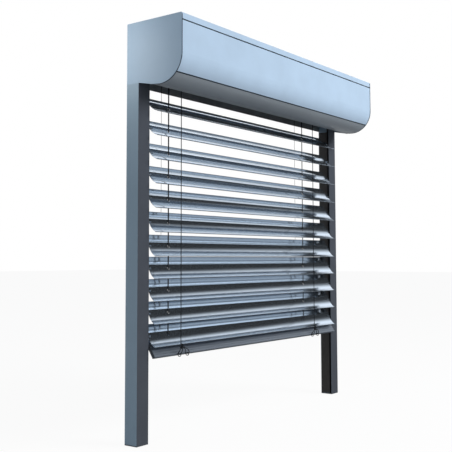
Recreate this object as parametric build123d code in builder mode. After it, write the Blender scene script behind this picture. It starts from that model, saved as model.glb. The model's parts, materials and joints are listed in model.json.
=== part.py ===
from build123d import *
import os
from math import cos, radians, sin, sqrt

# Exterior venetian blind: a cover box, two side rails, eleven tilting slats and a bottom rail.
# Millimetres. X runs across the window, Y = 0 is the wall with the front toward -Y, +Z is up.
# The origin is the centre of the four wall fixing holes in the back plate of the box.

# Overall size
overall_width = 1200.0
half_width = overall_width / 2

# Slats: 80 mm profile, counted from the top; the ladder pitch is shorter low down
slat_count = 11
slat_depth = 80.0
slat_end_gap = 5.0
slat_sheet = 0.6
bead_radius = 1.2
bead_height = 3.8
ridge_u = 11.0
ridge_height = 4.1
front_sagitta = 6.0
rear_sagitta = 2.2
slat_line_y = -43.0
first_slat_z = -153.5
upper_pitch = 72.0
lower_pitch = 68.0
upper_pitch_count = 6
first_tilt = 37.4
tilt_step = 3.2
last_tilt = 57.5

# Slat pins and shoes
pin_radius = 1.5
running_gap = 0.05
eye_radius = 2.6
eye_length = 8.0
collar_radius = 2.2
collar_gap = 1.2
collar_width = 1.5
shoe_height = 7.0
shoe_length = 8.0
shoe_inset = 2.0

# Side rails
rail_width = 50.0
rail_depth = 48.0
rail_wall = 1.5
rail_top_z = 38.0
rail_bottom_z = -1169.5
rail_inner_x = half_width - rail_width
foot_thickness = 3.0
foot_plug = 15.0
pocket_width = 7.0
pocket_depth = 14.0
liner_wall = 1.0
liner_lip = 0.8
rail_hole_radius = 3.0
rail_hole_z = (-300.0, -1050.0)

# Cover box
box_depth = 216.0
box_top_z = 92.5
curve_radius = 84.0
curve_centre = (-(box_depth - curve_radius), -24.0)
slot_lip = (curve_centre[0] + 28, curve_centre[1] - curve_radius + 2)
cap_rear_z = slot_lip[1] + 11
cap_plate = 3.0
cap_inner_x = half_width - cap_plate
sheet = 1.5
back_sheet = 1.2
roof_strip_height = 20.1
seam_gap = 0.8
seam_angle = 41.6
hem = 7.0
wall_hole_radius = 3.5
wall_hole_spacing = (900.0, 120.0)
screw_x = cap_inner_x - 11
screw_y = curve_centre[0] + 11
screw_radius = 1.5
tab_gap = 0.3

# Headrail and drive
headrail_y = (-64.5, -7.5)
headrail_z = (rail_top_z, 86.0)
headrail_half_length = cap_inner_x - 7
headrail_sheet = 1.0
shaft_line = (-30.0, 62.0)
shaft_flats = 7.0
spool_radius = 12.8
spool_flange_radius = 16.0
spool_hub_radius = 6.0
motor_half_length = 130.0
motor_radius = 19.0
bracket_x = (50 - headrail_half_length, -250.0, 250.0, headrail_half_length - 50)

# Lift tapes and ladder cords, placed by their distance from the left and right slat ends
tape_inset = (89.0, 201.0)
tape_width = 6.0
tape_thickness = 0.3
tape_side_gap = 0.6
tape_opening_gap = (2.0, 3.0)
slat_slot_y = (-4.2, 3.0)
rail_slot_gap = 1.0
rail_slot_y = (-6.0, 18.0)
spool_flange = 1.4
cord_inset = (101.0, 190.0)
cord_y = (-85.2, -2.0)
cord_radius = (1.3, 0.6)
cord_bottom_z = -890.0
spreader_thickness = 2.5
spreader_half_width = 6.0
spreader_margin = (2.8, 0.5)

# Bottom rail
bottom_rail_gap = 29.0
bottom_rail_thickness = 10.0
bottom_rail_wall = 1.6
bottom_cap = 2.0
groove_pitch = 8.0
groove_width = 2.6
groove_depth = 0.9
clip_radius = 2.4

# Values that follow from the ones above
lower_pitch_count = slat_count - 1 - upper_pitch_count
slat_pitches = [upper_pitch] * upper_pitch_count + [lower_pitch] * lower_pitch_count
slat_z = [first_slat_z]
for pitch in slat_pitches:
    slat_z.append(slat_z[-1] - pitch)
slat_tilt = [min(first_tilt + tilt_step * number, last_tilt) for number in range(slat_count)]
bottom_rail_z = slat_z[-1] - bottom_rail_gap
slat_half_length = rail_inner_x - slat_end_gap
tape_x = (tape_inset[0] - slat_half_length, slat_half_length - tape_inset[1])
cord_x = (cord_inset[0] - slat_half_length, slat_half_length - cord_inset[1])
slot_half_width = tape_width / 2 + tape_side_gap
opening_half_width = tape_width / 2 + tape_opening_gap[0]
opening_y = (slat_line_y - tape_opening_gap[1], slat_line_y + tape_opening_gap[1])
spool_half_width = slot_half_width + spool_flange
spreader_y = (cord_y[0] - spreader_margin[0], cord_y[1] + spreader_margin[1])
shoe_x = (rail_inner_x + shoe_inset, rail_inner_x + shoe_inset + shoe_length)
bore_radius = pin_radius + running_gap
sheet_top_z = box_top_z - sheet
pocket_y = (slat_line_y - pocket_width / 2, slat_line_y + pocket_width / 2)
liner_y = (pocket_y[0] + liner_wall, pocket_y[1] - liner_wall)
shoe_half_width = (liner_y[1] - liner_y[0]) / 2 - 0.2
roof_strip_bottom_z = box_top_z - roof_strip_height
cover_top_z = roof_strip_bottom_z - seam_gap
shaft_radius = shaft_flats / sqrt(3)


def block(x_range, y_range, z_range, mode=Mode.ADD):
    """Add or cut a rectangular block that spans the three ranges."""
    spans = [sorted(limits) for limits in (x_range, y_range, z_range)]
    centre = tuple((low + high) / 2 for low, high in spans)
    with Locations(centre):
        Box(*[high - low for low, high in spans], mode=mode)


def rod(radius, x_range, y, z, mode=Mode.ADD):
    """Add or cut a round bar along X."""
    low, high = sorted(x_range)
    with Locations(((low + high) / 2, y, z)):
        Cylinder(radius, high - low, rotation=(0, 90, 0), mode=mode)


def strip(first_range, second_range, mode=Mode.ADD):
    """Add or cut a rectangle in the open sketch."""
    spans = [sorted(limits) for limits in (first_range, second_range)]
    with Locations(tuple((low + high) / 2 for low, high in spans)):
        Rectangle(*[high - low for low, high in spans], mode=mode)


def on_curve(radius, angle):
    """Point of the rounded lower front of the box, angle counted down from the front."""
    y = curve_centre[0] - radius * cos(radians(angle))
    z = curve_centre[1] - radius * sin(radians(angle))
    return (y, z)


def screw_plane(side):
    """Plane on the sloping underside at one soffit screw, facing out of the box."""
    run = slot_lip[0] - curve_centre[0]
    rise = slot_lip[1] - on_curve(curve_radius, 90)[1]
    screw_z = slot_lip[1] + (screw_y - slot_lip[0]) * rise / run
    origin = (side * screw_x, screw_y, screw_z)
    return Plane(origin=origin, x_dir=(1, 0, 0), z_dir=(0, rise, -run))


def save(part, name):
    """Label one subcomponent and write its file."""
    part.label = name
    export_step(part, "parts/" + name + ".step")


os.makedirs("parts", exist_ok=True)

# Back plate: notched at both lower corners where the side rails run up into the box
with BuildPart() as back_plate:
    block((-cap_inner_x, cap_inner_x), (-back_sheet, 0), (rail_top_z, sheet_top_z))
    block((-rail_inner_x, rail_inner_x), (-back_sheet, 0), (cap_rear_z, rail_top_z))
    for hole_x in (-wall_hole_spacing[0] / 2, wall_hole_spacing[0] / 2):
        for hole_z in (-wall_hole_spacing[1] / 2, wall_hole_spacing[1] / 2):
            with Locations((hole_x, -back_sheet / 2, hole_z)):
                Cylinder(wall_hole_radius, 4, rotation=(90, 0, 0), mode=Mode.SUBTRACT)
save(back_plate.part, "back_plate")

# Roof: flat top, rear flange on the back plate and a front strip with a hemmed edge
with BuildPart() as roof_profile:
    with BuildSketch(Plane.YZ.offset(-cap_inner_x)) as roof_section:
        strip((-box_depth, 0), (sheet_top_z, box_top_z))
        strip((-box_depth, -box_depth + sheet), (roof_strip_bottom_z, box_top_z))
        front_edge = roof_section.vertices().group_by(Axis.X)[0].sort_by(Axis.Y)[-1]
        fillet(front_edge, radius=1.4)
        strip((-box_depth, -box_depth + hem), (roof_strip_bottom_z, roof_strip_bottom_z + sheet))
        strip((-back_sheet - sheet, -back_sheet), (sheet_top_z - 15, sheet_top_z))
    extrude(amount=2 * cap_inner_x)
save(roof_profile.part, "roof_profile")

# Front cover: hooks behind the hem of the roof and curves under to the soffit seam
hook_y = -box_depth + hem + seam_gap
with BuildPart() as front_cover:
    with BuildSketch(Plane.YZ.offset(-cap_inner_x)):
        strip((-box_depth, -box_depth + sheet), (curve_centre[1], cover_top_z))
        strip((-box_depth, hook_y + sheet), (cover_top_z - sheet, cover_top_z))
        strip((hook_y, hook_y + sheet), (cover_top_z - sheet, cover_top_z + 10))
        with BuildLine():
            CenterArc(curve_centre, curve_radius, 180, seam_angle)
            Line(on_curve(curve_radius, seam_angle), on_curve(curve_radius - hem, seam_angle))
            Line(
                on_curve(curve_radius - hem, seam_angle),
                on_curve(curve_radius - hem, seam_angle - 1),
            )
            Line(
                on_curve(curve_radius - hem, seam_angle - 1),
                on_curve(curve_radius - sheet, seam_angle - 1),
            )
            CenterArc(curve_centre, curve_radius - sheet, 180, seam_angle - 1)
            Line(on_curve(curve_radius - sheet, 0), on_curve(curve_radius, 0))
        make_face()
    extrude(amount=2 * cap_inner_x)
save(front_cover.part, "front_cover")

# Soffit panel: rest of the curve, the sloping underside and the turned-up lip of the slot
soffit_start = seam_angle + 0.5
with BuildPart() as soffit_panel:
    with BuildSketch(Plane.YZ.offset(-cap_inner_x)):
        with BuildLine():
            CenterArc(curve_centre, curve_radius, 180 + soffit_start, 90 - soffit_start)
            Line(on_curve(curve_radius, 90), slot_lip)
            Line(slot_lip, (slot_lip[0], slot_lip[1] + 14))
            Line((slot_lip[0], slot_lip[1] + 14), (slot_lip[0] - sheet, slot_lip[1] + 14))
            Line((slot_lip[0] - sheet, slot_lip[1] + 14), (slot_lip[0] - sheet, slot_lip[1] + sheet))
            Line((slot_lip[0] - sheet, slot_lip[1] + sheet), on_curve(curve_radius - sheet, 90))
            CenterArc(curve_centre, curve_radius - sheet, 181 + soffit_start, 89 - soffit_start)
            Line(
                on_curve(curve_radius - sheet, soffit_start + 1),
                on_curve(curve_radius - hem, soffit_start + 1),
            )
            Line(
                on_curve(curve_radius - hem, soffit_start + 1),
                on_curve(curve_radius - hem, soffit_start),
            )
            Line(on_curve(curve_radius - hem, soffit_start), on_curve(curve_radius, soffit_start))
        make_face()
    extrude(amount=2 * cap_inner_x)
    for side in (-1, 1):
        with BuildSketch(screw_plane(side)):
            Circle(screw_radius + 0.3)
        extrude(amount=-4, mode=Mode.SUBTRACT)
save(soffit_panel.part, "soffit_panel")

# Soffit screws: pan heads square to the sloping underside, shanks up into the cap tabs
with BuildPart() as soffit_screws:
    for side in (-1, 1):
        with BuildSketch(screw_plane(side)):
            Circle(3.2)
        extrude(amount=1.8)
        with BuildSketch(screw_plane(side)):
            Circle(screw_radius)
        extrude(amount=-6.5)
save(soffit_screws.part, "soffit_screws")


def make_end_cap(side):
    """End plate with tabs behind the roof, the front cover and the soffit."""
    tab_x = (side * (cap_inner_x - 17), side * cap_inner_x)
    with BuildPart() as cap:
        with BuildSketch(Plane.YZ.offset(side * cap_inner_x)) as outline:
            with BuildLine():
                Line(on_curve(curve_radius, 90), slot_lip)
                Polyline(slot_lip, (-rail_depth - 2, cap_rear_z), (0, cap_rear_z))
                Polyline((0, cap_rear_z), (0, box_top_z), (-box_depth, box_top_z))
                Line((-box_depth, box_top_z), (-box_depth, curve_centre[1]))
                CenterArc(curve_centre, curve_radius, 180, 90)
            make_face()
            top_front = outline.vertices().group_by(Axis.X)[0].sort_by(Axis.Y)[-1]
            fillet(top_front, radius=1.4)
        extrude(amount=side * cap_plate)
        roof_tab_y = (-box_depth + 36, -box_depth + 136)
        block(tab_x, roof_tab_y, (sheet_top_z - 4, sheet_top_z - tab_gap))
        front_tab_y = -box_depth + sheet + tab_gap
        front_tab_z = (curve_centre[1] + 4, cover_top_z - 11.6)
        block(tab_x, (front_tab_y, front_tab_y + 4), front_tab_z)
        block(tab_x, (screw_y - 8, screw_y + 8), (slot_lip[1] + 1, slot_lip[1] + 7))
        with BuildSketch(screw_plane(side)):
            Circle(screw_radius + running_gap)
        extrude(amount=-12, mode=Mode.SUBTRACT)
    return cap.part


save(make_end_cap(-1), "end_cap_left")
save(make_end_cap(1), "end_cap_right")


def make_rail(side):
    """Hollow rail with a guide pocket near the front of its inner face."""
    inner = side * rail_inner_x
    outer = side * half_width
    pocket_end = side * (rail_inner_x + pocket_depth)
    web_end = side * (rail_inner_x + pocket_depth + rail_wall)
    with BuildPart() as rail:
        with BuildSketch(Plane.XY.offset(rail_bottom_z)):
            strip((inner, outer), (-rail_depth, -rail_depth + rail_wall))
            strip((inner, outer), (-rail_wall, 0))
            strip((outer - side * rail_wall, outer), (-rail_depth, 0))
            strip((inner, inner + side * rail_wall), (pocket_y[1], 0))
            strip((inner, web_end), (pocket_y[1], pocket_y[1] + rail_wall))
            strip((pocket_end, web_end), (pocket_y[0], pocket_y[1] + rail_wall))
        extrude(amount=rail_top_z - rail_bottom_z)
        block(
            (side * cap_inner_x, side * (half_width + 1)),
            (-rail_depth - 1, 1),
            (cap_rear_z, rail_top_z + 1),
            mode=Mode.SUBTRACT,
        )
        for hole_z in rail_hole_z:
            with Locations((side * (rail_inner_x + rail_width / 2), -rail_wall / 2, hole_z)):
                Cylinder(rail_hole_radius, 2 * rail_wall, rotation=(90, 0, 0), mode=Mode.SUBTRACT)
    return rail.part


save(make_rail(-1), "rail_left")
save(make_rail(1), "rail_right")

# Guide liners: plastic channels in the rail pockets with lips over the mouth
with BuildPart() as guide_liners:
    for side in (-1, 1):
        inner = side * rail_inner_x
        pocket_end = side * (rail_inner_x + pocket_depth)
        lip_x = side * (rail_inner_x - liner_lip)
        with BuildSketch(Plane.XY.offset(rail_bottom_z)):
            strip((lip_x, pocket_end), (pocket_y[0], liner_y[0]))
            strip((lip_x, pocket_end), (liner_y[1], pocket_y[1]))
            strip((pocket_end - side * liner_wall, pocket_end), pocket_y)
            strip((lip_x, inner), (pocket_y[0] - liner_lip, liner_y[0]))
            strip((lip_x, inner), (liner_y[1], pocket_y[1] + liner_lip))
        extrude(amount=rail_top_z - rail_bottom_z)
save(guide_liners.part, "guide_liners")

# Rail feet: a plate under each rail and a plug in its main chamber
foot_bottom_z = rail_bottom_z - foot_thickness
with BuildPart() as rail_feet:
    for side in (-1, 1):
        foot_x = (side * rail_inner_x, side * half_width)
        plug_x = (side * (rail_inner_x + 17), side * (half_width - 3))
        block(foot_x, (-rail_depth, 0), (foot_bottom_z, rail_bottom_z))
        block(plug_x, (-rail_depth + 3, -3), (rail_bottom_z, rail_bottom_z + foot_plug))
save(rail_feet.part, "rail_feet")

# Headrail: open-topped channel that rests on the rail tops, slotted for the tapes
with BuildPart() as headrail:
    with BuildSketch(Plane.YZ.offset(-headrail_half_length)):
        strip(headrail_y, (headrail_z[0], headrail_z[0] + headrail_sheet))
        strip((headrail_y[0], headrail_y[0] + headrail_sheet), headrail_z)
        strip((headrail_y[1] - headrail_sheet, headrail_y[1]), headrail_z)
    extrude(amount=2 * headrail_half_length)
    for x in tape_x:
        opening_x = (x - opening_half_width, x + opening_half_width)
        opening_z = (headrail_z[0] - 1, headrail_z[0] + 2)
        block(opening_x, opening_y, opening_z, mode=Mode.SUBTRACT)
save(headrail.part, "headrail")

# Headrail brackets: caps that grip the channel and fill the space up to the roof
with BuildPart() as headrail_brackets:
    for x in bracket_x:
        span = (x - 17, x + 17)
        front = headrail_y[0] - 0.2
        rear = headrail_y[1] + 0.2
        block(span, (front - sheet, rear + sheet), (sheet_top_z - sheet, sheet_top_z))
        block(span, (front - sheet, front), (headrail_z[1] - 16, sheet_top_z))
        block(span, (rear, rear + sheet), (headrail_z[1] - 16, sheet_top_z))
        block(span, (front, front + 5), (headrail_z[1], headrail_z[1] + sheet))
        block(span, (rear - 5, rear), (headrail_z[1], headrail_z[1] + sheet))
save(headrail_brackets.part, "headrail_brackets")

# Motor: round body between two square heads that stand on the headrail floor
floor_z = headrail_z[0] + headrail_sheet
with BuildPart() as motor:
    rod(motor_radius, (-motor_half_length, motor_half_length), *shaft_line)
    for side in (-1, 1):
        head_x = (side * (motor_half_length - 12), side * motor_half_length)
        head_y = (headrail_y[0] + 8.5, headrail_y[1] - 2.5)
        block(head_x, head_y, (floor_z, headrail_z[1] - 6))
        bore_x = (side * (motor_half_length - 16), side * (motor_half_length + 1))
        rod(shaft_radius + running_gap, bore_x, *shaft_line, mode=Mode.SUBTRACT)
save(motor.part, "motor")

# Drive shaft: one six-sided bar from each end of the motor out past its tape spool
shaft_start = motor_half_length - 15
with BuildPart() as drive_shaft:
    for x in tape_x:
        side = -1 if x < 0 else 1
        shaft_length = abs(x) + 20 - shaft_start
        with BuildSketch(Plane.YZ.offset(side * shaft_start)):
            with Locations(shaft_line):
                RegularPolygon(shaft_radius, 6)
        extrude(amount=side * shaft_length)
save(drive_shaft.part, "drive_shaft")

# Tape spools: flanged drums on the shaft, their hubs running in the housings
with BuildPart() as tape_spools:
    for x in tape_x:
        rod(spool_radius, (x - spool_half_width, x + spool_half_width), *shaft_line)
        rod(spool_hub_radius, (x - 12, x + 12), *shaft_line)
        for side in (-1, 1):
            flange_x = (x + side * slot_half_width, x + side * spool_half_width)
            rod(spool_flange_radius, flange_x, *shaft_line)
        with BuildSketch(Plane.YZ.offset(x - 13)):
            with Locations(shaft_line):
                RegularPolygon(shaft_radius + running_gap, 6)
        extrude(amount=26, mode=Mode.SUBTRACT)
save(tape_spools.part, "tape_spools")

# Spool housings: slotted base and two cheeks for each spool
with BuildPart() as spool_housings:
    for x in tape_x:
        base_y = (headrail_y[0] + 6.5, headrail_y[1] - 4.5)
        block((x - 14, x + 14), base_y, (floor_z, floor_z + 2))
        opening_x = (x - opening_half_width, x + opening_half_width)
        block(opening_x, opening_y, (floor_z - 1, floor_z + 3), mode=Mode.SUBTRACT)
        for side in (-1, 1):
            cheek_x = (x + side * 6.5, x + side * 9.5)
            block(cheek_x, (headrail_y[0] + 14.5, base_y[1]), (floor_z + 2, headrail_z[1] - 4))
            rod(spool_hub_radius + running_gap, cheek_x, *shaft_line, mode=Mode.SUBTRACT)
save(spool_housings.part, "spool_housings")

# Ladder spreaders: plates under the headrail that hold the ladder cords apart
with BuildPart() as ladder_spreaders:
    for x in cord_x:
        spreader_x = (x - spreader_half_width, x + spreader_half_width)
        block(spreader_x, spreader_y, (headrail_z[0] - spreader_thickness, headrail_z[0]))
        for y, radius in zip(cord_y, cord_radius):
            with Locations((x, y, headrail_z[0])):
                Cylinder(radius + 0.1, 8, mode=Mode.SUBTRACT)
save(ladder_spreaders.part, "ladder_spreaders")

# Lift tapes: from the spools down to the clips in the bottom rail
tape_bottom_z = bottom_rail_z + clip_radius + 0.3
with BuildPart() as lift_tapes:
    for x in tape_x:
        block(
            (x - tape_width / 2, x + tape_width / 2),
            (slat_line_y - tape_thickness / 2, slat_line_y + tape_thickness / 2),
            (tape_bottom_z, shaft_line[1]),
        )
save(lift_tapes.part, "lift_tapes")

# Ladder cords: a thicker front cord and a rear cord at each ladder
cord_length = headrail_z[0] - cord_bottom_z
with BuildPart() as ladder_cords:
    for x in cord_x:
        for y, radius in zip(cord_y, cord_radius):
            with Locations((x, y, cord_bottom_z + cord_length / 2)):
                Cylinder(radius, cord_length)
save(ladder_cords.part, "ladder_cords")

# Slat: a doubly dished sheet with rolled edges, tape slots and an eye for the pin at each end
edge_u = slat_depth / 2 - bead_radius
front_middle = ((ridge_u - edge_u) / 2, (bead_height + ridge_height) / 2 - front_sagitta)
rear_middle = ((ridge_u + edge_u) / 2, (bead_height + ridge_height) / 2 - rear_sagitta)
half_sheet = slat_sheet / 2


def raised(point, amount):
    """The same section point, lifted or lowered."""
    return (point[0], point[1] + amount)


with BuildPart() as slat_shape:
    with BuildSketch(Plane.YZ.offset(-slat_half_length)):
        front = (-edge_u, bead_height)
        ridge = (ridge_u, ridge_height)
        rear = (edge_u, bead_height)
        with BuildLine():
            for amount in (-half_sheet, half_sheet):
                ThreePointArc(
                    raised(front, amount), raised(front_middle, amount), raised(ridge, amount)
                )
                ThreePointArc(
                    raised(ridge, amount), raised(rear_middle, amount), raised(rear, amount)
                )
            Line(raised(front, -half_sheet), raised(front, half_sheet))
            Line(raised(rear, -half_sheet), raised(rear, half_sheet))
        make_face()
        with Locations(front, rear):
            Circle(bead_radius)
    extrude(amount=2 * slat_half_length)
    for side in (-1, 1):
        eye_x = (side * (slat_half_length - eye_length), side * slat_half_length)
        rod(eye_radius, eye_x, 0, 0)
        rod(bore_radius, (eye_x[0] - side * 0.5, eye_x[1] + side), 0, 0, mode=Mode.SUBTRACT)
    for x in tape_x:
        slot_x = (x - slot_half_width, x + slot_half_width)
        block(slot_x, slat_slot_y, (-8, 8), mode=Mode.SUBTRACT)


def make_pins(inner_x):
    """Pair of steel pins, each with a collar between the slat end and the rail."""
    collar_x = slat_half_length + collar_gap
    with BuildPart() as pins:
        for side in (-1, 1):
            rod(pin_radius, (side * inner_x, side * (shoe_x[1] - 0.5)), 0, 0)
            rod(collar_radius, (side * collar_x, side * (collar_x + collar_width)), 0, 0)
    return pins.part


def make_shoes():
    """Pair of plastic shoes that slide in the guide liners."""
    with BuildPart() as shoes:
        for side in (-1, 1):
            shoe_span = (side * shoe_x[0], side * shoe_x[1])
            block(
                shoe_span,
                (-shoe_half_width, shoe_half_width),
                (-shoe_height / 2, shoe_height / 2),
            )
            rod(bore_radius, (side * (shoe_x[0] - 1), side * (shoe_x[1] + 1)), 0, 0, mode=Mode.SUBTRACT)
    return shoes.part


slat_pins = make_pins(slat_half_length - eye_length + 0.3)
slat_shoes = make_shoes()
for index in range(slat_count):
    number = "%02d" % (index + 1)
    axis = (0, slat_line_y, slat_z[index])
    save(slat_shape.part.moved(Location(axis, (slat_tilt[index], 0, 0))), "slat_" + number)
    save(slat_pins.moved(Location(axis)), "pins_" + number)
    save(slat_shoes.moved(Location(axis)), "shoes_" + number)

# Bottom rail: hollow ribbed bar with slots for the tapes, built level and then tilted
rail_place = Location((0, slat_line_y, bottom_rail_z), (last_tilt, 0, 0))
rail_end_x = slat_half_length - bottom_cap
bottom_inner_depth = slat_depth - 2 * bottom_rail_wall
bottom_inner_thickness = bottom_rail_thickness - 2 * bottom_rail_wall
with BuildPart() as bottom_rail:
    with BuildSketch(Plane.YZ.offset(-rail_end_x)):
        RectangleRounded(slat_depth, bottom_rail_thickness, 2)
        Rectangle(bottom_inner_depth, bottom_inner_thickness, mode=Mode.SUBTRACT)
        for face in (-1, 1):
            outer_v = face * bottom_rail_thickness / 2
            for step in range(-4, 5):
                groove_u = step * groove_pitch
                strip(
                    (groove_u - groove_width / 2, groove_u + groove_width / 2),
                    (outer_v - face * groove_depth, outer_v + face),
                    mode=Mode.SUBTRACT,
                )
    extrude(amount=2 * rail_end_x)
    for x in tape_x:
        slot_x = (x - tape_width / 2 - rail_slot_gap, x + tape_width / 2 + rail_slot_gap)
        block(slot_x, rail_slot_y, (0, bottom_rail_thickness), mode=Mode.SUBTRACT)
save(bottom_rail.part.moved(rail_place), "bottom_rail")

with BuildPart() as bottom_rail_caps:
    for side in (-1, 1):
        with BuildSketch(Plane.YZ.offset(side * rail_end_x)):
            RectangleRounded(slat_depth, bottom_rail_thickness, 2)
        extrude(amount=side * bottom_cap)
        plug_x = (side * (rail_end_x - 10), side * rail_end_x)
        plug_u = bottom_inner_depth / 2 - 0.1
        plug_v = bottom_inner_thickness / 2 - 0.1
        block(plug_x, (-plug_u, plug_u), (-plug_v, plug_v))
        bore_x = (side * (rail_end_x - 11), side * (slat_half_length + 1))
        rod(bore_radius, bore_x, 0, 0, mode=Mode.SUBTRACT)
save(bottom_rail_caps.part.moved(rail_place), "bottom_rail_caps")

# Tape clips: round bars in the bottom rail that hold the tape ends on the tilting axis
with BuildPart() as tape_clips:
    for x in tape_x:
        rod(clip_radius, (x - 12, x + 12), 0, 0)
        block((x - 12, x + 12), (-8, 8), (-bottom_inner_thickness / 2, -1.2))
save(tape_clips.part.moved(rail_place), "tape_clips")

bottom_axis = Location((0, slat_line_y, bottom_rail_z))
save(make_pins(rail_end_x - 9).moved(bottom_axis), "bottom_pins")
save(make_shoes().moved(bottom_axis), "bottom_shoes")
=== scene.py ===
import bpy
import json
from math import cos, pi, radians, sin
from mathutils import Matrix, Vector


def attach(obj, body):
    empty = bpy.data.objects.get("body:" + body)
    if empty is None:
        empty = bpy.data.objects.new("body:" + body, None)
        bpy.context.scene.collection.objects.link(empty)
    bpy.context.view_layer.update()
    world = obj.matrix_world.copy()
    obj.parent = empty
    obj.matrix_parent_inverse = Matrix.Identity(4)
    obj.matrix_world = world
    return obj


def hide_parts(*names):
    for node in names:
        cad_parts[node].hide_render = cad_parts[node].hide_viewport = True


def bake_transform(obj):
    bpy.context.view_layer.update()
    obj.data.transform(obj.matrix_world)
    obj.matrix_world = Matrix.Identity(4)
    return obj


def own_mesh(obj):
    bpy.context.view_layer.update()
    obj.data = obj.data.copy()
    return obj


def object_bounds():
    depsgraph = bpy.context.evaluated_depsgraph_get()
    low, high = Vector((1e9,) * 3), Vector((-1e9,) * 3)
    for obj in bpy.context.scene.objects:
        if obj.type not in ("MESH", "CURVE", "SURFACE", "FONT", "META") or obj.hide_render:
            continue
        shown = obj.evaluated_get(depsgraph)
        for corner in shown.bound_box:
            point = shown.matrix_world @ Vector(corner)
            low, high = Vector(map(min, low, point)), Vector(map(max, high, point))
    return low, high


# Exterior venetian blind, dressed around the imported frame. Metres, +Z up, the front toward -Y.
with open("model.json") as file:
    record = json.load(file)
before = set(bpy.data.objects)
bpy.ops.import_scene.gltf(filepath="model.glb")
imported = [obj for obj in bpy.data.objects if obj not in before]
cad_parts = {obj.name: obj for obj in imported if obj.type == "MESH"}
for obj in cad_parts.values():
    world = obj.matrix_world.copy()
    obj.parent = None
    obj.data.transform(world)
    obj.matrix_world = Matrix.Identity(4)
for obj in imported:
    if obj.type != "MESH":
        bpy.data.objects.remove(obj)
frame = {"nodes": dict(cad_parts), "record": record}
cad_bounds = [list(corner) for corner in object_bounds()]
nodes = frame["nodes"]

# Camera, matched to the photograph
image_pixels = 452
focal_pixels = 803.8
axis_row = 199.56
sensor_width = 36.0
view_distance = 100.0
camera_place = (-2.3545, -1.6912, -0.6264)
camera_yaw = 53.148
camera_pitch = 4.258
camera_roll = -0.139

# Places repeated from the solids
cord_x = (-0.444, 0.355)
cord_y = (-0.0852, -0.002)
cord_radius = (0.0013, 0.0006)
cord_top = 0.038
cord_bottom = -0.890
tape_x = (-0.456, 0.344)
tape_bottom = -0.8838
tape_top = 0.062
tape_width = 0.006
tape_thickness = 0.0003
between_z = (-0.15, -0.4, -0.65)
slat_line_y = -0.043
bottom_rail_z = -0.8865
bottom_rail_tilt = 57.5
cap_seam_x = 0.5965
box_front_y = -0.216
box_top_z = 0.0925
curve_radius = 0.084
curve_centre = (-0.132, -0.024)
slot_lip = (-0.104, -0.106)
roof_seam_z = 0.072
soffit_seam_angle = 41.85
rail_inner_x = 0.550
rail_bottom_z = -1.1695

# Gaskets: they sink into the seams; the cap gaskets start at the wall and follow the box
gasket_radius = 0.0030
gasket_sink = 0.0022
gasket_corner = 0.004
gasket_spans = 4
roof_middle_y = -0.1
cover_middle_z = 0.03
curve_steps = 24

# Rail strips: ribbed bands on the inner faces of the rails, a damping strip whose dark colour is
# partly painted shade
strip_ribs = 13
strip_y = (-0.0385, -0.0015)
strip_z = (rail_bottom_z + 0.001, -0.1)
strip_base = 0.0003
strip_rib = 0.0005

# Ladder feet: a knot, strands that fan out from it and loops over the bottom rail's edge
knot_offset = (0.001, -0.0026, -0.0015)
knot_turns = 3
knot_swing = 0.0042
knot_swing_change = 0.0018
knot_stretch = 1.2
knot_lift = 0.0016
turn_steps = 24
thread_radius = 0.0013
loop_radius = 0.0012
rail_edge_u = -0.0385
strand_reaches = (0.004, 0.022, 0.042, 0.060)
strand_end_v = 0.0056
strand_bow = (0.2, -0.004, 0.002)
loop_reaches = (0.012, 0.050)
loop_width = 0.0068
loop_depth = 0.0055
loop_fall = (0.75, 0.25)
loop_v = 0.0052

# Sides of the tubes
cord_sides = 12
knot_sides = 10
thread_sides = 8

# Surface patterns: noise scales, how far the gloss wanders, and the strength and depth of relief
noise_span = (0.3, 0.7)
paint_cloud_scale = 9.0
paint_gloss_scale = 60.0
paint_gloss_spread = 0.03
paint_relief = 0.35
streak_scale = 220.0
streak_stretch = (0.02, 1, 1)
streak_gloss_spread = 0.02
streak_depth = 0.00001
plastic_cloud_scale = 40.0
plastic_variation = 0.08
plastic_gloss_scale = 300.0
plastic_gloss_spread = 0.05
plastic_grain_scale = 1800.0
plastic_relief = 0.3
plastic_depth = 0.00003
web_roughness = 0.85
web_sheen = 0.1
web_variation = 0.45
web_distortion = 1.5
web_relief = 0.6
web_depth = 0.0002
web_waves = 6.2
# Painted shade on the rails' front and rear faces: scale and spread of its colour noise
shaded_face_cloud_scale = 14.0
shaded_face_variation = 0.06

# Floor and world: white to the camera; mirror rays find graded light in place of white
floor_size = 30.0
floor_bounce_color = (0.46, 0.47, 0.48)
floor_shade_color = (0.8, 0.8, 0.8)
floor_white_share = 0.93
floor_mirror_y = (0.0, 1.2)
floor_mirror_level = (0.09, 0.55)
soft_color = (0.92, 0.96, 1.0)
soft_level = 0.45
mirror_color = (0.95, 0.97, 1.0)
mirror_least = 0.015
mirror_height = (0.12, 0.46)
mirror_height_level = (0.2, 1.1)
mirror_bands = (
    (0.28, 0.0),
    (0.45, 1.0),
    (0.55, 0.8),
    (0.62, 0.6),
    (0.67, 0.9),
    (0.72, 1.4),
    (0.78, 1.1),
    (0.90, 0.3),
)


def new_material(name):
    """Node material with its tree and shader."""
    material = bpy.data.materials.new(name)
    material.use_nodes = True
    tree = material.node_tree
    shader = tree.nodes["Principled BSDF"]
    return material, tree, shader


def object_noise(tree, scale, stretch=(1, 1, 1), detail=3.0):
    """Noise laid on the object's own coordinates."""
    place = tree.nodes.new("ShaderNodeTexCoord")
    mapping = tree.nodes.new("ShaderNodeMapping")
    mapping.inputs["Scale"].default_value = stretch
    noise = tree.nodes.new("ShaderNodeTexNoise")
    noise.inputs["Scale"].default_value = scale
    noise.inputs["Detail"].default_value = detail
    tree.links.new(place.outputs["Object"], mapping.inputs["Vector"])
    tree.links.new(mapping.outputs["Vector"], noise.inputs["Vector"])
    return noise.outputs["Fac"]


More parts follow.
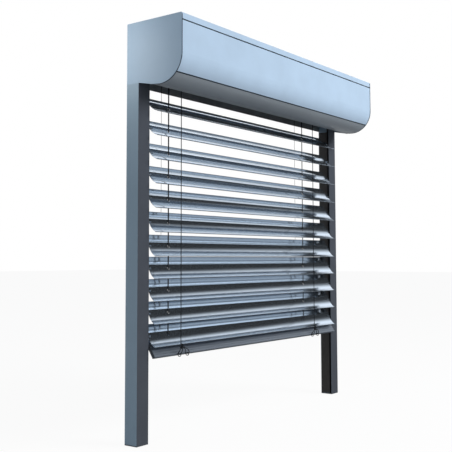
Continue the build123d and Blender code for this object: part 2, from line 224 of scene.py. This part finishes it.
def mapped(tree, value, span, result, interpolation="LINEAR"):
    """Map a value from one range onto another."""
    node = tree.nodes.new("ShaderNodeMapRange")
    node.interpolation_type = interpolation
    node.inputs["From Min"].default_value = span[0]
    node.inputs["From Max"].default_value = span[1]
    node.inputs["To Min"].default_value = result[0]
    node.inputs["To Max"].default_value = result[1]
    tree.links.new(value, node.inputs["Value"])
    return node.outputs["Result"]


def tinted(tree, color, value, amount):
    """Colour that runs a little darker and lighter with a noise value."""
    ramp = tree.nodes.new("ShaderNodeValToRGB")
    ramp.color_ramp.elements[0].position = noise_span[0]
    ramp.color_ramp.elements[1].position = noise_span[1]
    ramp.color_ramp.elements[0].color = [c * (1 - amount) for c in color] + [1]
    ramp.color_ramp.elements[1].color = [min(1, c * (1 + amount)) for c in color] + [1]
    tree.links.new(value, ramp.inputs["Fac"])
    return ramp.outputs["Color"]


def uneven_gloss(tree, shader, value, roughness, amount):
    """Roughness that wanders a little with a noise value."""
    gloss = mapped(tree, value, noise_span, (roughness - amount, roughness + amount))
    tree.links.new(gloss, shader.inputs["Roughness"])


def bump(tree, shader, value, strength, distance):
    """Fine relief from a noise value."""
    node = tree.nodes.new("ShaderNodeBump")
    node.inputs["Strength"].default_value = strength
    node.inputs["Distance"].default_value = distance
    tree.links.new(value, node.inputs["Height"])
    tree.links.new(node.outputs["Normal"], shader.inputs["Normal"])


def powder_coat(name, color, roughness, metallic=0.0, variation=0.04, grain=900.0, depth=0.00002):
    """Sprayed paint: cloudy colour, uneven gloss and a fine orange-peel skin."""
    material, tree, shader = new_material(name)
    shader.inputs["Metallic"].default_value = metallic
    cloud = object_noise(tree, paint_cloud_scale)
    tree.links.new(tinted(tree, color, cloud, variation), shader.inputs["Base Color"])
    patches = object_noise(tree, paint_gloss_scale)
    uneven_gloss(tree, shader, patches, roughness, paint_gloss_spread)
    bump(tree, shader, object_noise(tree, grain), paint_relief, depth)
    return material


def rolled_metal(name, color, roughness, metallic, streak=0.05, relief=0.06):
    """Rolled sheet: streaks along the length in colour and gloss."""
    material, tree, shader = new_material(name)
    shader.inputs["Metallic"].default_value = metallic
    streaks = object_noise(tree, streak_scale, stretch=streak_stretch)
    tree.links.new(tinted(tree, color, streaks, streak), shader.inputs["Base Color"])
    uneven_gloss(tree, shader, streaks, roughness, streak_gloss_spread)
    bump(tree, shader, streaks, relief, streak_depth)
    return material


def moulded(name, color, roughness):
    """Moulded plastic with a fine spark-eroded skin."""
    material, tree, shader = new_material(name)
    cloud = object_noise(tree, plastic_cloud_scale)
    tree.links.new(tinted(tree, color, cloud, plastic_variation), shader.inputs["Base Color"])
    patches = object_noise(tree, plastic_gloss_scale)
    uneven_gloss(tree, shader, patches, roughness, plastic_gloss_spread)
    bump(tree, shader, object_noise(tree, plastic_grain_scale), plastic_relief, plastic_depth)
    return material


def woven(name, color, pitch, bands=False):
    """Braid or tape: crossed waves in colour and relief."""
    material, tree, shader = new_material(name)
    shader.inputs["Roughness"].default_value = web_roughness
    shader.inputs["Sheen Weight"].default_value = web_sheen
    place = tree.nodes.new("ShaderNodeTexCoord")
    wave = tree.nodes.new("ShaderNodeTexWave")
    wave.wave_type = "BANDS"
    wave.bands_direction = "Z" if bands else "DIAGONAL"
    wave.inputs["Scale"].default_value = 1 / pitch / web_waves
    wave.inputs["Distortion"].default_value = web_distortion
    tree.links.new(place.outputs["Object"], wave.inputs["Vector"])
    tint = tinted(tree, color, wave.outputs["Fac"], web_variation)
    tree.links.new(tint, shader.inputs["Base Color"])
    bump(tree, shader, wave.outputs["Fac"], web_relief, web_depth)
    return material


def paint_with_shaded_faces(name, side_color, shaded_front_color, roughness):
    """Sprayed profile whose front and rear faces get a darker colour than its sides: painted shade.
    """
    material = powder_coat(name, side_color, roughness)
    tree = material.node_tree
    shader = tree.nodes["Principled BSDF"]
    side = shader.inputs["Base Color"].links[0].from_socket
    # The darker colour on faces that point along Y is painted shade
    front = tinted(tree, shaded_front_color, object_noise(tree, shaded_face_cloud_scale), shaded_face_variation)
    geometry = tree.nodes.new("ShaderNodeNewGeometry")
    parts = tree.nodes.new("ShaderNodeSeparateXYZ")
    size = tree.nodes.new("ShaderNodeMath")
    size.operation = "ABSOLUTE"
    mix = tree.nodes.new("ShaderNodeMix")
    mix.data_type = "RGBA"
    tree.links.new(geometry.outputs["Normal"], parts.inputs[0])
    tree.links.new(parts.outputs["Y"], size.inputs[0])
    tree.links.new(size.outputs[0], mix.inputs["Factor"])
    tree.links.new(side, mix.inputs["A"])
    tree.links.new(front, mix.inputs["B"])
    tree.links.new(mix.outputs["Result"], shader.inputs["Base Color"])
    return material


materials = {
    "box_paint": powder_coat("box_paint", (0.45, 0.58, 0.73), 0.34),
    "soffit_paint": powder_coat("soffit_paint", (0.31, 0.345, 0.38), 0.42),
    "cap_paint": powder_coat("cap_paint", (0.26, 0.36, 0.47), 0.36),
    # rail_paint: its front and rear faces carry painted shade, darker than its sides
    "rail_paint": paint_with_shaded_faces("rail_paint", (0.225, 0.31, 0.39), (0.07, 0.079, 0.097), 0.38),
    "slat_paint": rolled_metal("slat_paint", (0.69, 0.79, 0.90), 0.14, 0.97, 0.015, 0.004),
    "bottom_rail_paint": rolled_metal("bottom_rail_paint", (0.34, 0.39, 0.46), 0.3, 0.75),
    "galvanised": powder_coat("galvanised", (0.45, 0.46, 0.47), 0.45, 0.8, 0.15, 300.0),
    "steel": rolled_metal("steel", (0.55, 0.56, 0.57), 0.28, 1.0),
    "black_plastic": moulded("black_plastic", (0.012, 0.012, 0.014), 0.5),
    # strip_rubber: the rail strips' dark colour, partly painted shade
    "strip_rubber": moulded("strip_rubber", (0.05, 0.047, 0.045), 0.6),
    "seal_rubber": moulded("seal_rubber", (0.022, 0.034, 0.05), 0.55),
    "grey_plastic": moulded("grey_plastic", (0.07, 0.08, 0.095), 0.5),
    "tape_web": woven("tape_web", (0.01, 0.012, 0.016), 0.0008, bands=True),
    "cord_web": woven("cord_web", (0.01, 0.013, 0.018), 0.0009),
    "motor_paint": powder_coat("motor_paint", (0.015, 0.015, 0.017), 0.4),
}

# The carried-over nodes keep their shapes and get the materials of their slots
slots = {entry["node"]: entry["material_slot"] for entry in frame["record"]["subparts"]}
for name, node in nodes.items():
    node.data.materials.clear()
    node.data.materials.append(materials[slots[name]])


def add_mesh(name, vertices, faces, material_slot, body):
    """New mesh piece with its material, riding on a body unless that is None."""
    mesh = bpy.data.meshes.new(name)
    mesh.from_pydata(vertices, [], faces)
    mesh.shade_smooth()
    piece = bpy.data.objects.new(name, mesh)
    bpy.context.scene.collection.objects.link(piece)
    mesh.materials.append(materials[material_slot])
    if body is not None:
        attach(piece, body)
    return piece


def tube(name, path, radius, material_slot, body, sides, across=None, flatness=1.0):
    """Round or flattened tube along a list of points, closed at both ends."""
    points = [Vector(point) for point in path]
    vertices = []
    for index, point in enumerate(points):
        ahead = points[min(index + 1, len(points) - 1)] - points[max(index - 1, 0)]
        ahead.normalize()
        if across is None:
            across = ahead.orthogonal().normalized()
        across = (across - ahead * across.dot(ahead)).normalized()
        other = ahead.cross(across)
        for side in range(sides):
            angle = 2 * pi * side / sides
            off_centre = across * cos(angle) + other * sin(angle) * flatness
            vertices.append(point + off_centre * radius)
    faces = []
    for ring in range(len(points) - 1):
        for side in range(sides):
            following = (side + 1) % sides
            low = ring * sides
            faces.append((low + side, low + following, low + sides + following, low + sides + side))
    faces.append(tuple(range(sides - 1, -1, -1)))
    last = (len(points) - 1) * sides
    faces.append(tuple(range(last, last + sides)))
    return add_mesh(name, vertices, faces, material_slot, body)


def spline_points(route):
    """Points along the smooth line that has the route as its control points."""
    curve = bpy.data.curves.new("route", "CURVE")
    curve.dimensions = "3D"
    spline = curve.splines.new("NURBS")
    spline.points.add(len(route) - 1)
    for point, place in zip(spline.points, route):
        point.co = (*place, 1)
    spline.order_u = 3
    spline.use_endpoint_u = True
    holder = bpy.data.objects.new("route", curve)
    mesh = bpy.data.meshes.new_from_object(holder)
    points = [vertex.co.copy() for vertex in mesh.vertices]
    bpy.data.meshes.remove(mesh)
    bpy.data.objects.remove(holder)
    bpy.data.curves.remove(curve)
    return points


# Ladder cords: straight down in front of and behind the slats
for place, x in zip(("left", "right"), cord_x):
    for row, y, radius in zip(("front", "rear"), cord_y, cord_radius):
        route = [(x, y, z) for z in (cord_top, *between_z, cord_bottom)]
        path = spline_points(route)
        name = "ladder_cord_%s_%s" % (place, row)
        cord = tube(name, path, radius, "cord_web", "frame", cord_sides)
        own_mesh(cord)
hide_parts("ladder_cords")

# Lift tapes: flat woven bands
for place, x in zip(("left", "right"), tape_x):
    route = [(x, slat_line_y, z) for z in (tape_top, *between_z, tape_bottom)]
    path = spline_points(route)
    tape = tube(
        "lift_tape_" + place,
        path,
        tape_width / 2,
        "tape_web",
        "frame",
        cord_sides,
        across=Vector((1, 0, 0)),
        flatness=tape_thickness / tape_width,
    )
    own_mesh(tape)
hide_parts("lift_tapes")


def on_curve(radius, angle):
    """Point of the rounded lower front of the box, angle counted down from the front."""
    y = curve_centre[0] - radius * cos(radians(angle))
    z = curve_centre[1] - radius * sin(radians(angle))
    return (y, z)


# Dark gaskets along the roof and soffit seams of the cover box
for name, (y, z) in (
    ("gasket_roof", (box_front_y + gasket_sink, roof_seam_z)),
    ("gasket_soffit", on_curve(curve_radius - gasket_sink, soffit_seam_angle)),
):
    stations = range(-gasket_spans, gasket_spans + 1)
    path = [(station * cap_seam_x / gasket_spans, y, z) for station in stations]
    tube(name, path, gasket_radius, "seal_rubber", "frame", cord_sides)

# Dark gaskets around the end caps, from the wall over the roof and down to the slot
for place, side in (("left", -1), ("right", 1)):
    outline = [
        (-gasket_corner, box_top_z - gasket_sink),
        (roof_middle_y, box_top_z - gasket_sink),
        (box_front_y + gasket_corner, box_top_z - gasket_sink),
        (box_front_y + gasket_sink, box_top_z - gasket_corner),
        (box_front_y + gasket_sink, cover_middle_z),
    ]
    for step in range(curve_steps + 1):
        outline.append(on_curve(curve_radius - gasket_sink, step * 90 / curve_steps))
    outline.append((slot_lip[0], slot_lip[1] + gasket_sink))
    path = [(side * cap_seam_x, y, z) for y, z in outline]
    tube("gasket_cap_" + place, path, gasket_radius, "seal_rubber", "frame", cord_sides)

# Dark ribbed strips on the inner faces of the side rails: a damping strip, its dark colour partly
# painted shade on those faces
for place, side in (("left", -1), ("right", 1)):
    vertices = []
    for end_z in strip_z:
        for rib in range(2 * strip_ribs + 1):
            y = strip_y[0] + rib * (strip_y[1] - strip_y[0]) / (2 * strip_ribs)
            proud = strip_base + strip_rib * (rib % 2)
            vertices.append((side * (rail_inner_x - proud), y, end_z))
        vertices.append((side * rail_inner_x, strip_y[1], end_z))
        vertices.append((side * rail_inner_x, strip_y[0], end_z))
    count = len(vertices) // 2
    faces = []
    for point in range(count):
        following = (point + 1) % count
        faces.append((point, following, count + following, count + point))
    faces.append(tuple(range(count - 1, -1, -1)))
    faces.append(tuple(range(count, 2 * count)))
    strip = add_mesh("rail_strip_" + place, vertices, faces, "strip_rubber", "frame")
    strip.data.shade_flat()


def on_rail(x, u, v):
    """Point given along and above the tilted bottom rail."""
    angle = radians(bottom_rail_tilt)
    y = slat_line_y + u * cos(angle) - v * sin(angle)
    z = bottom_rail_z + u * sin(angle) + v * cos(angle)
    return (x, y, z)


# Ladder feet: a knot at the end of each front cord and strands that fan out to the bottom rail
for place, x in zip(("left", "right"), cord_x):
    knot = Vector((x, cord_y[0], cord_bottom)) + Vector(knot_offset)
    turns = []
    for step in range(knot_turns * turn_steps + 1):
        angle = 2 * pi * step / turn_steps
        swing = knot_swing + knot_swing_change * cos(4 * angle / 3)
        lift = knot_lift * sin(4 * angle / 3)
        turns.append(knot + Vector((swing * cos(angle), lift, knot_stretch * swing * sin(angle))))
    tube("ladder_knot_" + place, turns, thread_radius, "cord_web", "bottom_shoes", knot_sides)
    for number, reach in enumerate(strand_reaches):
        end = Vector(on_rail(x + reach, rail_edge_u, strand_end_v))
        bow = (knot + end) / 2 + Vector((reach * strand_bow[0], strand_bow[1], strand_bow[2]))
        path = spline_points([tuple(knot), tuple(bow), tuple(end)])
        name = "ladder_strand_%s_%d" % (place, number)
        strand = tube(name, path, thread_radius, "cord_web", None, thread_sides)
        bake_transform(strand)
    for number, reach in enumerate(loop_reaches):
        loop = []
        for step in range(turn_steps + 1):
            angle = 2 * pi * step / turn_steps
            wide = loop_width * sin(angle)
            deep = loop_depth * (1 - cos(angle))
            u = rail_edge_u - loop_fall[0] * deep
            v = loop_v - loop_fall[1] * deep
            loop.append(Vector(on_rail(x + reach + wide, u, v)))
        name = "ladder_loop_%s_%d" % (place, number)
        tube(name, loop, loop_radius, "cord_web", "bottom_rail", thread_sides)


def one_color(tree, kind, color):
    """Diffuse, emission or background shader of one colour."""
    node = tree.nodes.new(kind)
    node.inputs["Color"].default_value = (*color, 1)
    return node


def mixed(tree, first, second):
    """Mix of two shaders, with its share still to be set."""
    node = tree.nodes.new("ShaderNodeMixShader")
    tree.links.new(first.outputs[0], node.inputs[1])
    tree.links.new(second.outputs[0], node.inputs[2])
    return node


def coordinate(tree, kind):
    """Texture coordinate, split into its three parts."""
    place = tree.nodes.new("ShaderNodeTexCoord")
    parts = tree.nodes.new("ShaderNodeSeparateXYZ")
    tree.links.new(place.outputs[kind], parts.inputs[0])
    return parts.outputs


def by_ray(tree, mirrored, others, seen, output):
    """Send mirror rays, camera rays and all others to shaders of their own."""
    rays = tree.nodes.new("ShaderNodeLightPath")
    unseen = mixed(tree, others, mirrored)
    tree.links.new(rays.outputs["Is Glossy Ray"], unseen.inputs["Fac"])
    surface = mixed(tree, unseen, seen)
    tree.links.new(rays.outputs["Is Camera Ray"], surface.inputs["Fac"])
    end = tree.nodes.new(output)
    tree.links.new(surface.outputs[0], end.inputs["Surface"])


# Stage: pale floor under the rail feet
floor_z = cad_bounds[0][2]
floor_corners = ((-1, -1), (1, -1), (1, 1), (-1, 1))
floor_mesh = bpy.data.meshes.new("floor")
floor_mesh.from_pydata(
    [(x * floor_size, y * floor_size, floor_z) for x, y in floor_corners],
    [],
    [(0, 1, 2, 3)],
)
floor = bpy.data.objects.new("floor", floor_mesh)
bpy.context.scene.collection.objects.link(floor)

floor_material = bpy.data.materials.new("floor_white")
floor_material.use_nodes = True
floor_tree = floor_material.node_tree
floor_tree.nodes.clear()
floor_bounce = one_color(floor_tree, "ShaderNodeBsdfDiffuse", floor_bounce_color)
floor_shade = one_color(floor_tree, "ShaderNodeBsdfDiffuse", floor_shade_color)
floor_glow = one_color(floor_tree, "ShaderNodeEmission", (1, 1, 1))
floor_white = mixed(floor_tree, floor_shade, floor_glow)
floor_white.inputs["Fac"].default_value = floor_white_share
floor_mirrored = one_color(floor_tree, "ShaderNodeEmission", (1, 1, 1))
floor_y = coordinate(floor_tree, "Object")["Y"]
floor_level = mapped(floor_tree, floor_y, floor_mirror_y, floor_mirror_level, "SMOOTHSTEP")
floor_tree.links.new(floor_level, floor_mirrored.inputs["Strength"])
by_ray(floor_tree, floor_mirrored, floor_bounce, floor_white, "ShaderNodeOutputMaterial")
floor_mesh.materials.append(floor_material)

# World: mirror rays find it bright behind and above the blind, and dark in front and below
world = bpy.data.worlds.new("studio")
world.use_nodes = True
bpy.context.scene.world = world
world_tree = world.node_tree
world_tree.nodes.clear()
soft = one_color(world_tree, "ShaderNodeBackground", soft_color)
soft.inputs["Strength"].default_value = soft_level
white = one_color(world_tree, "ShaderNodeBackground", (1, 1, 1))
white.inputs["Strength"].default_value = 1.0
mirrored = one_color(world_tree, "ShaderNodeBackground", mirror_color)
direction = coordinate(world_tree, "Generated")
bands = world_tree.nodes.new("ShaderNodeValToRGB")
bands.color_ramp.interpolation = "EASE"
for position, level in mirror_bands[1:-1]:
    bands.color_ramp.elements.new(position)
for stop, (position, level) in zip(bands.color_ramp.elements, mirror_bands):
    stop.position = position
    stop.color = (level, level, level, 1)
depth = mapped(world_tree, direction["Y"], (-1.0, 1.0), (0.0, 1.0))
world_tree.links.new(depth, bands.inputs["Fac"])
height = mapped(world_tree, direction["Z"], mirror_height, mirror_height_level, "SMOOTHSTEP")
glow = world_tree.nodes.new("ShaderNodeMath")
glow.operation = "MULTIPLY_ADD"
glow.inputs[2].default_value = mirror_least
world_tree.links.new(bands.outputs["Color"], glow.inputs[0])
world_tree.links.new(height, glow.inputs[1])
world_tree.links.new(glow.outputs[0], mirrored.inputs["Strength"])
by_ray(world_tree, mirrored, soft, white, "ShaderNodeOutputWorld")


def area_light(name, place, target, size, power, color=(1, 1, 1)):
    """Soft rectangular lamp aimed at a point."""
    lamp = bpy.data.lights.new(name, "AREA")
    lamp.shape = "RECTANGLE"
    lamp.size, lamp.size_y = size
    lamp.energy = power
    lamp.color = color
    holder = bpy.data.objects.new(name, lamp)
    holder.location = place
    aim = Vector(target) - Vector(place)
    holder.rotation_euler = aim.to_track_quat("-Z", "Y").to_euler()
    holder.visible_camera = False
    holder.visible_glossy = False
    bpy.context.scene.collection.objects.link(holder)


# Lamps: place, target, size and power
area_light("key", (1.2, -3.4, 1.6), (0, 0, -0.35), (2.2, 1.6), 140)
area_light("left", (-3.6, -0.6, 1.2), (0, 0, -0.3), (1.6, 1.6), 18)
area_light("cap_wash", (-0.78, 0.06, 0.02), (-0.6, -0.03, 0), (0.12, 0.2), 0.5, (1.0, 0.93, 0.86))

# Camera
camera_data = bpy.data.cameras.new("camera")
camera_data.sensor_width = sensor_width
camera_data.lens = focal_pixels / image_pixels * sensor_width
camera_data.shift_y = (axis_row - image_pixels / 2) / image_pixels
camera_data.clip_end = view_distance
camera = bpy.data.objects.new("camera", camera_data)
turn = Matrix.Rotation(radians(-camera_yaw), 4, "Z")
tip = Matrix.Rotation(radians(90 + camera_pitch), 4, "X")
roll = Matrix.Rotation(radians(camera_roll), 4, "Z")
camera.matrix_world = Matrix.Translation(camera_place) @ turn @ tip @ roll
bpy.context.scene.collection.objects.link(camera)
bpy.context.scene.camera = camera
bpy.context.scene.view_settings.view_transform = "Standard"
